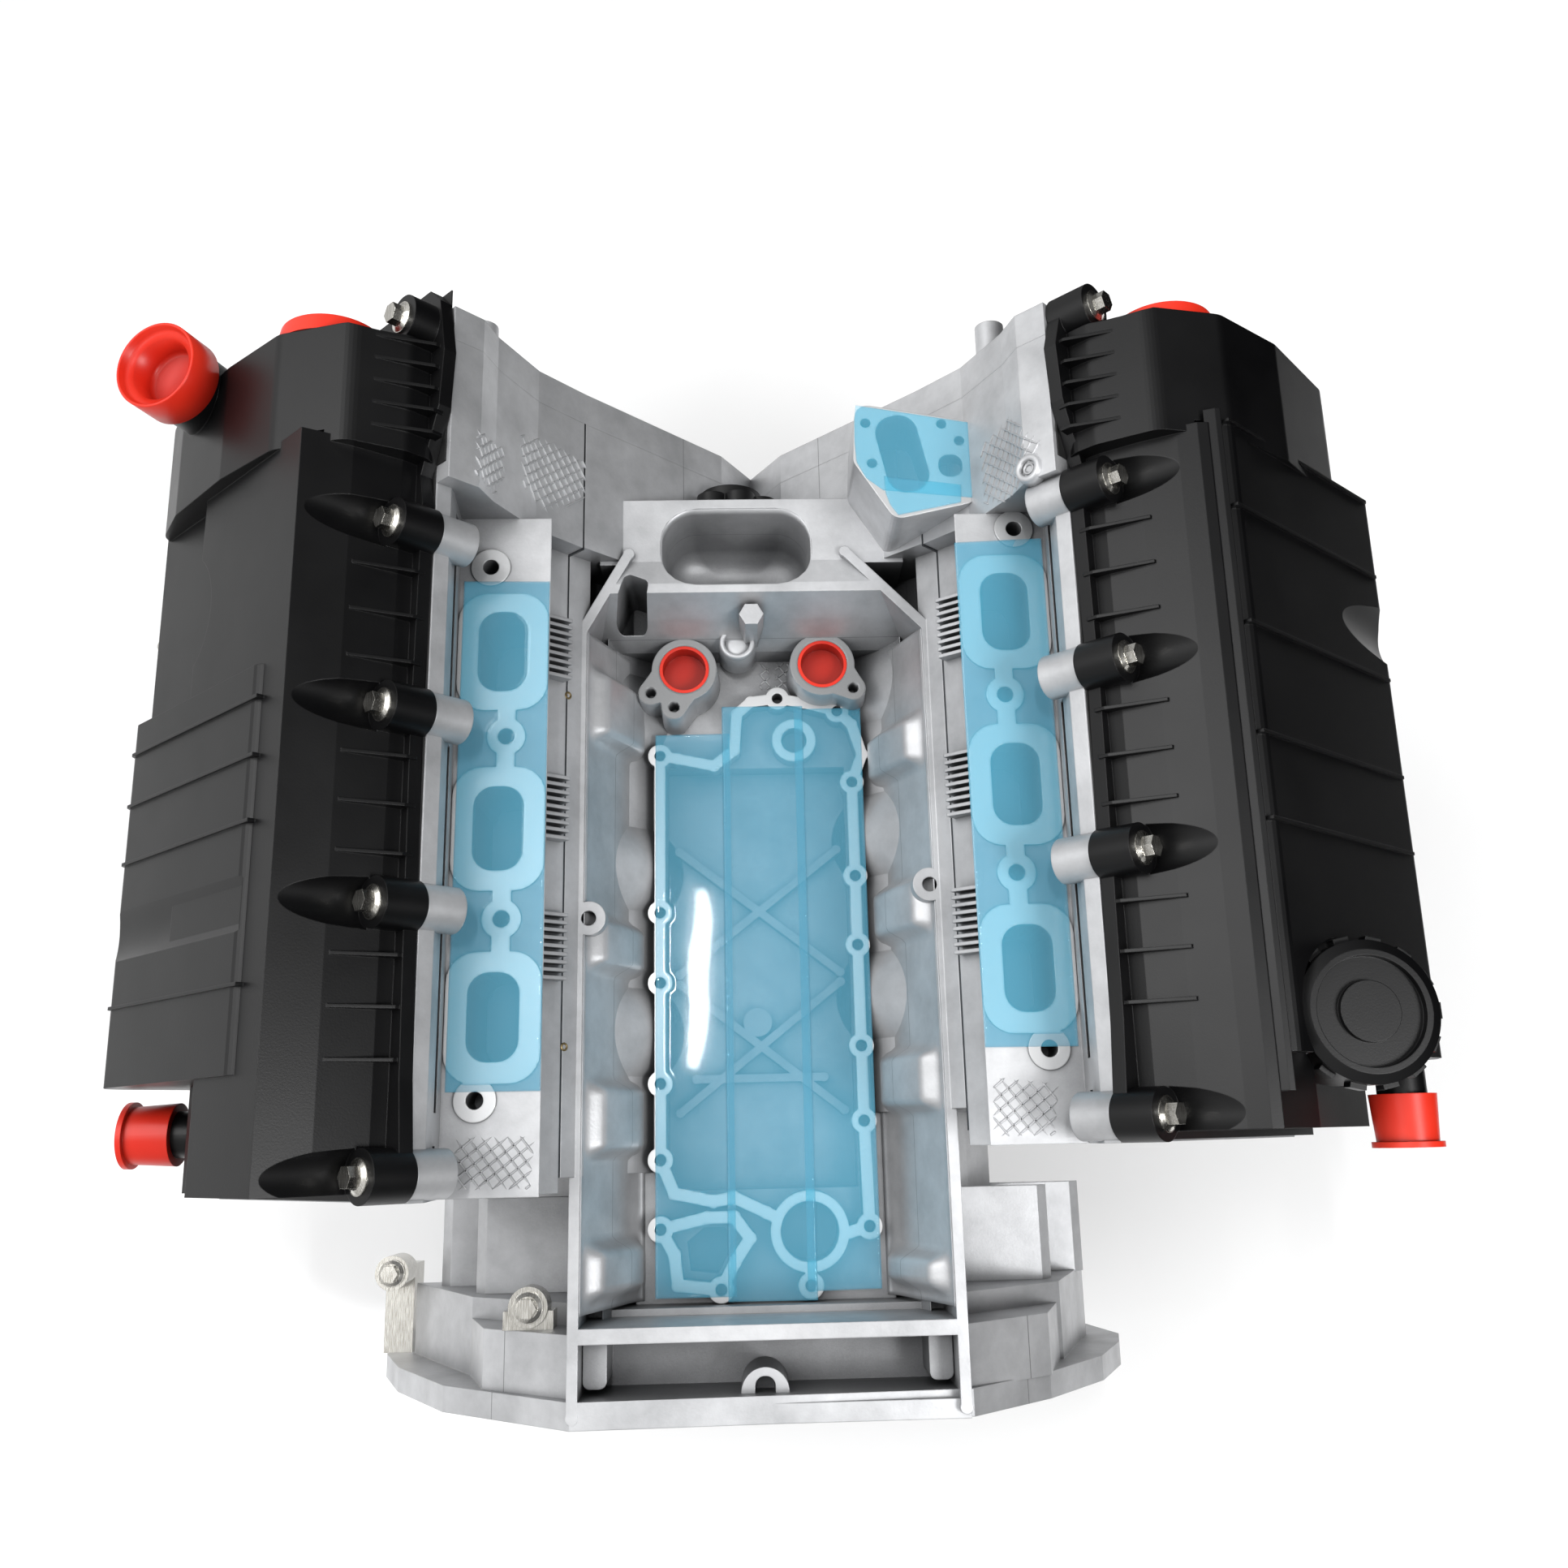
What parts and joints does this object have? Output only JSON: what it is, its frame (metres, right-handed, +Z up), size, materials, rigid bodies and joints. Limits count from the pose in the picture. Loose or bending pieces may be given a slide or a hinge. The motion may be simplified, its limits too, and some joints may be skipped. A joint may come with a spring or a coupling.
{
  "type": "v-six engine",
  "caption": "Ninety-degree V engine as a long block: aluminium block and heads, black cam covers with red transport caps, open valley, geared chain drive, crank and pistons.",
  "frame": {"origin": "centre of the crank flange's flywheel face, on the crank axis", "axes": "+Y along the crank towards the engine's front, +Z up through the valley, -X towards the left bank as seen from the flywheel end"},
  "size_m": [0.7326, 0.626, 0.5401],
  "materials": {
    "cast_aluminium": "sand-cast aluminium, shot-blasted",
    "machined_aluminium": "milled aluminium",
    "black_plastic": "moulded glass-filled nylon",
    "red_plastic": "moulded polyethylene caps",
    "film": "thin blue transport film",
    "bright_steel": "zinc-plated steel",
    "dark_steel": "oiled machined steel",
    "iron": "honed grey iron",
    "gasket_steel": "coated sheet steel",
    "seal_rubber": "moulded rubber",
    "bearing": "lined bearing shell",
    "ceramic": "glazed ceramic and steel"
  },
  "bodies": {
    "engine": {"engine_block": "cast_aluminium", "bedplate": "cast_aluminium", "sump_pan": "cast_aluminium", "cylinder_liners": "iron", "head_gaskets": "gasket_steel", "cylinder_head_left": "cast_aluminium", "cylinder_head_right": "cast_aluminium", "cam_cover_gaskets": "seal_rubber", "cam_cover_left": "black_plastic", "cam_cover_right": "black_plastic", "cover_bolts": "bright_steel", "front_timing_cover": "cast_aluminium", "coolant_housing": "cast_aluminium", "rear_seal_carrier": "cast_aluminium", "main_bearings": "bearing", "cam_caps": "machined_aluminium", "valves": "bright_steel", "valve_springs": "dark_steel", "tappets": "bright_steel", "spark_plugs": "ceramic", "timing_chain_left": "dark_steel", "timing_chain_right": "dark_steel", "chain_guides": "black_plastic", "chain_tensioners": "machined_aluminium", "oil_pump": "cast_aluminium", "oil_pickup": "bright_steel", "coolant_pump": "black_plastic", "port_films": "film", "valley_film": "film", "front_film": "film", "breather_cap": "black_plastic", "ball_studs": "bright_steel", "rear_brackets": "bright_steel", "bracket_bolts": "bright_steel"},
    "crank": {"crankshaft": "dark_steel", "crank_hub": "dark_steel", "crank_sprocket": "dark_steel"},
    "piston_left_1": {"piston_left_1": "machined_aluminium"},
    "piston_left_2": {"piston_left_2": "machined_aluminium"},
    "piston_left_3": {"piston_left_3": "machined_aluminium"},
    "cam_left_intake": {"camshaft_left_intake": "dark_steel", "phaser_left_intake": "bright_steel"},
    "cam_left_exhaust": {"camshaft_left_exhaust": "dark_steel", "phaser_left_exhaust": "bright_steel"},
    "piston_right_1": {"piston_right_1": "machined_aluminium"},
    "piston_right_2": {"piston_right_2": "machined_aluminium"},
    "piston_right_3": {"piston_right_3": "machined_aluminium"},
    "cam_right_intake": {"camshaft_right_intake": "dark_steel", "phaser_right_intake": "bright_steel"},
    "cam_right_exhaust": {"camshaft_right_exhaust": "dark_steel", "phaser_right_exhaust": "bright_steel"},
    "valley_plug_left": {"valley_plug_left": "red_plastic"},
    "valley_plug_right": {"valley_plug_right": "red_plastic"},
    "cover_plug_left": {"cover_plug_left": "red_plastic"},
    "cover_plug_right": {"cover_plug_right": "red_plastic"},
    "filler_cap": {"filler_cap": "red_plastic"},
    "spigot_cap_left": {"spigot_cap_left": "red_plastic"},
    "spigot_cap_right": {"spigot_cap_right": "red_plastic"}
  },
  "joints": [
    {"name": "crank_spin", "type": "hinge", "parent": "engine", "child": "crank", "pos_m": [0, 0.326, 0], "axis": [0, 1, 0], "continuous": true},
    {"name": "cam_left_intake_spin", "type": "hinge", "parent": "engine", "child": "cam_left_intake", "pos_m": [-0.20789, 0.326, 0.27011], "axis": [0, 1, 0], "continuous": true},
    {"name": "cam_left_exhaust_spin", "type": "hinge", "parent": "engine", "child": "cam_left_exhaust", "pos_m": [-0.27011, 0.326, 0.20789], "axis": [0, 1, 0], "continuous": true},
    {"name": "cam_right_intake_spin", "type": "hinge", "parent": "engine", "child": "cam_right_intake", "pos_m": [0.20789, 0.34575, 0.27011], "axis": [0, 1, 0], "continuous": true},
    {"name": "cam_right_exhaust_spin", "type": "hinge", "parent": "engine", "child": "cam_right_exhaust", "pos_m": [0.27011, 0.34575, 0.20789], "axis": [0, 1, 0], "continuous": true},
    {"name": "piston_left_1_slide", "type": "slide", "parent": "engine", "child": "piston_left_1", "axis": [-0.7071, 0, 0.7071], "range_m": [-0.0457, 0.0432]},
    {"name": "piston_left_2_slide", "type": "slide", "parent": "engine", "child": "piston_left_2", "axis": [-0.7071, 0, 0.7071], "range_m": [-0.0019, 0.087]},
    {"name": "piston_left_3_slide", "type": "slide", "parent": "engine", "child": "piston_left_3", "axis": [-0.7071, 0, 0.7071], "range_m": [-0.0758, 0.0131]},
    {"name": "piston_right_1_slide", "type": "slide", "parent": "engine", "child": "piston_right_1", "axis": [0.7071, 0, 0.7071], "range_m": [-0.0758, 0.0131]},
    {"name": "piston_right_2_slide", "type": "slide", "parent": "engine", "child": "piston_right_2", "axis": [0.7071, 0, 0.7071], "range_m": [-0.0457, 0.0432]},
    {"name": "piston_right_3_slide", "type": "slide", "parent": "engine", "child": "piston_right_3", "axis": [0.7071, 0, 0.7071], "range_m": [-0.0019, 0.087]},
    {"name": "valley_plug_left_pull", "type": "slide", "parent": "engine", "child": "valley_plug_left", "axis": [0, 0, 1], "range_m": [0, 0.06]},
    {"name": "valley_plug_right_pull", "type": "slide", "parent": "engine", "child": "valley_plug_right", "axis": [0, 0, 1], "range_m": [0, 0.06]},
    {"name": "cover_plug_left_pull", "type": "slide", "parent": "engine", "child": "cover_plug_left", "axis": [0, 1, 0], "range_m": [0, 0.05]},
    {"name": "cover_plug_right_pull", "type": "slide", "parent": "engine", "child": "cover_plug_right", "axis": [0, 1, 0], "range_m": [0, 0.05]},
    {"name": "filler_cap_pull", "type": "slide", "parent": "engine", "child": "filler_cap", "axis": [-0.2981, -0.0298, 0.9541], "range_m": [0, 0.06]},
    {"name": "spigot_cap_left_pull", "type": "slide", "parent": "engine", "child": "spigot_cap_left", "axis": [-1, 0, 0], "range_m": [0, 0.05]},
    {"name": "spigot_cap_right_pull", "type": "slide", "parent": "engine", "child": "spigot_cap_right", "axis": [0, -1, 0], "range_m": [0, 0.05]}
  ],
  "couplings": [
    {"joint": "cam_left_intake_spin", "follows": "crank_spin", "ratio": 0.5},
    {"joint": "cam_left_exhaust_spin", "follows": "crank_spin", "ratio": 0.5},
    {"joint": "cam_right_intake_spin", "follows": "crank_spin", "ratio": 0.5},
    {"joint": "cam_right_exhaust_spin", "follows": "crank_spin", "ratio": 0.5}
  ]
}
